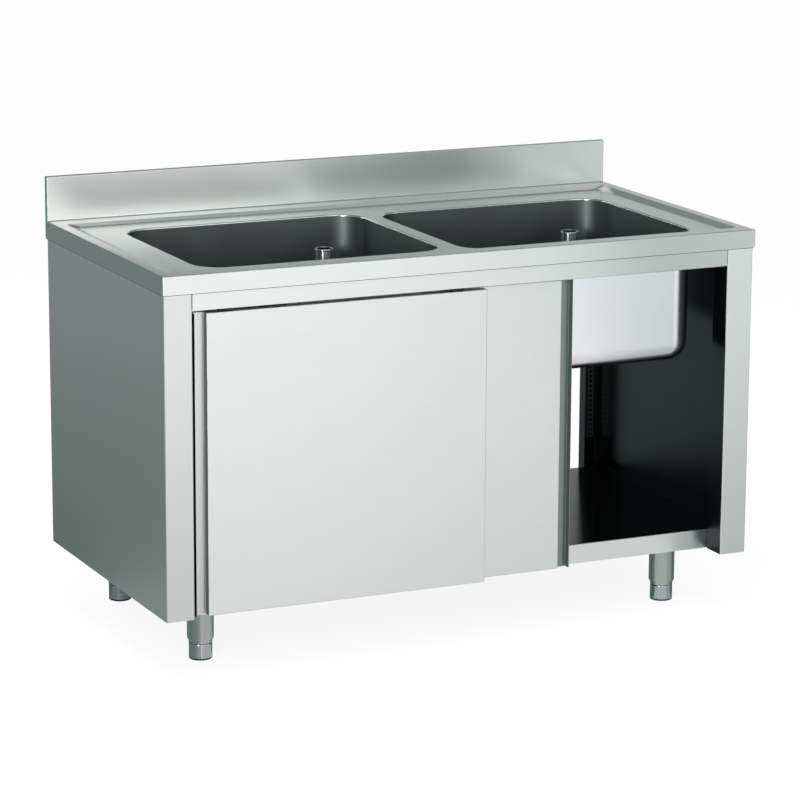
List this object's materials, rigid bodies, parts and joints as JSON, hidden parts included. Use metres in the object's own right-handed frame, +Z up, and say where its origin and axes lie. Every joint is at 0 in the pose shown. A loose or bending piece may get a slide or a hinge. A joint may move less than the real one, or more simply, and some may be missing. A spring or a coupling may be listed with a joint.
{
  "type": "kitchen sink unit",
  "caption": "Stainless steel sink cupboard: folded worktop with deep bowls, standpipes and upstand over top-hung sliding doors, an open back, a bottom shelf and adjustable legs.",
  "frame": {"origin": "on the floor, under the middle of the worktop's outline", "axes": "+X to the right along the front, +Y from the front to the wall, +Z up"},
  "size_m": [1.4, 0.73, 0.97],
  "materials": {
    "satin_steel": "satin ground stainless sheet",
    "bowl_steel": "deep-drawn stainless sheet, finely brushed",
    "polished_steel": "bright polished stainless tube and turnings",
    "nylon": "moulded natural nylon",
    "rubber": "moulded black rubber",
    "black_plastic": "moulded black plastic",
    "core_board": "unfaced fibre board"
  },
  "bodies": {
    "cabinet": {"worktop": "satin_steel", "worktop_centre_brace": "satin_steel", "bowl_left": "bowl_steel", "waste_body_left": "polished_steel", "waste_gasket_left": "rubber", "waste_nut_left": "black_plastic", "bowl_right": "bowl_steel", "waste_body_right": "polished_steel", "waste_gasket_right": "rubber", "waste_nut_right": "black_plastic", "side_panel_left": "satin_steel", "side_panel_right": "satin_steel", "front_top_rail": "satin_steel", "rear_top_rail": "satin_steel", "bottom_shelf": "satin_steel", "shelf_stiffener": "satin_steel", "shelf_rack_left": "satin_steel", "shelf_rack_right": "satin_steel", "track_front": "satin_steel", "track_stop_front_left": "rubber", "track_stop_front_right": "rubber", "track_rear": "satin_steel", "track_stop_rear_left": "rubber", "track_stop_rear_right": "rubber", "guide_block_left": "nylon", "guide_block_right": "nylon", "leg_front_left": "satin_steel", "leg_front_right": "satin_steel", "leg_back_left": "satin_steel", "leg_back_right": "satin_steel"},
    "front_door": {"front_door_skin": "satin_steel", "front_door_grip": "satin_steel", "front_door_back": "satin_steel", "front_door_core": "core_board", "front_door_hanger_left": "satin_steel", "front_door_hanger_right": "satin_steel", "front_door_glide": "nylon"},
    "front_roller_left": {"front_door_roller_left": "nylon"},
    "front_roller_right": {"front_door_roller_right": "nylon"},
    "rear_door": {"rear_door_skin": "satin_steel", "rear_door_grip": "satin_steel", "rear_door_back": "satin_steel", "rear_door_core": "core_board", "rear_door_hanger_left": "satin_steel", "rear_door_hanger_right": "satin_steel"},
    "rear_roller_left": {"rear_door_roller_left": "nylon"},
    "rear_roller_right": {"rear_door_roller_right": "nylon"},
    "standpipe_left": {"standpipe_tube_left": "polished_steel", "standpipe_seal_left": "rubber"},
    "standpipe_right": {"standpipe_tube_right": "polished_steel", "standpipe_seal_right": "rubber"},
    "foot_front_left": {"foot_front_left": "polished_steel", "foot_tip_front_left": "black_plastic"},
    "foot_front_right": {"foot_front_right": "polished_steel", "foot_tip_front_right": "black_plastic"},
    "foot_back_left": {"foot_back_left": "polished_steel", "foot_tip_back_left": "black_plastic"},
    "foot_back_right": {"foot_back_right": "polished_steel", "foot_tip_back_right": "black_plastic"}
  },
  "joints": [
    {"name": "front_door_slide", "type": "slide", "parent": "cabinet", "child": "front_door", "axis": [1, 0, 0], "range_m": [0, 0.585]},
    {"name": "rear_door_slide", "type": "slide", "parent": "cabinet", "child": "rear_door", "axis": [1, 0, 0], "range_m": [-0.222, 0.363]},
    {"name": "front_roller_left_turn", "type": "hinge", "parent": "front_door", "child": "front_roller_left", "pos_m": [-0.559, -0.3478, 0.8025], "axis": [0, 1, 0], "range_deg": [-20, 3060]},
    {"name": "front_roller_right_turn", "type": "hinge", "parent": "front_door", "child": "front_roller_right", "pos_m": [-0.026, -0.3478, 0.8025], "axis": [0, 1, 0], "range_deg": [-20, 3060]},
    {"name": "rear_roller_left_turn", "type": "hinge", "parent": "rear_door", "child": "rear_roller_left", "pos_m": [-0.337, -0.3178, 0.8025], "axis": [0, 1, 0], "range_deg": [-1170, 1905]},
    {"name": "rear_roller_right_turn", "type": "hinge", "parent": "rear_door", "child": "rear_roller_right", "pos_m": [0.196, -0.3178, 0.8025], "axis": [0, 1, 0], "range_deg": [-1170, 1905]},
    {"name": "standpipe_left_lift", "type": "slide", "parent": "cabinet", "child": "standpipe_left", "axis": [0, 0, 1], "range_m": [0, 0.25]},
    {"name": "standpipe_right_lift", "type": "slide", "parent": "cabinet", "child": "standpipe_right", "axis": [0, 0, 1], "range_m": [0, 0.25]},
    {"name": "foot_front_left_screw", "type": "slide", "parent": "cabinet", "child": "foot_front_left", "axis": [0, 0, -1], "range_m": [0, 0.04]},
    {"name": "foot_front_right_screw", "type": "slide", "parent": "cabinet", "child": "foot_front_right", "axis": [0, 0, -1], "range_m": [0, 0.04]},
    {"name": "foot_back_left_screw", "type": "slide", "parent": "cabinet", "child": "foot_back_left", "axis": [0, 0, -1], "range_m": [0, 0.04]},
    {"name": "foot_back_right_screw", "type": "slide", "parent": "cabinet", "child": "foot_back_right", "axis": [0, 0, -1], "range_m": [0, 0.04]}
  ],
  "couplings": [
    {"joint": "front_roller_left_turn", "follows": "front_door_slide", "rad_per_m": 90.909},
    {"joint": "front_roller_right_turn", "follows": "front_door_slide", "rad_per_m": 90.909},
    {"joint": "rear_roller_left_turn", "follows": "rear_door_slide", "rad_per_m": 90.909},
    {"joint": "rear_roller_right_turn", "follows": "rear_door_slide", "rad_per_m": 90.909}
  ]
}
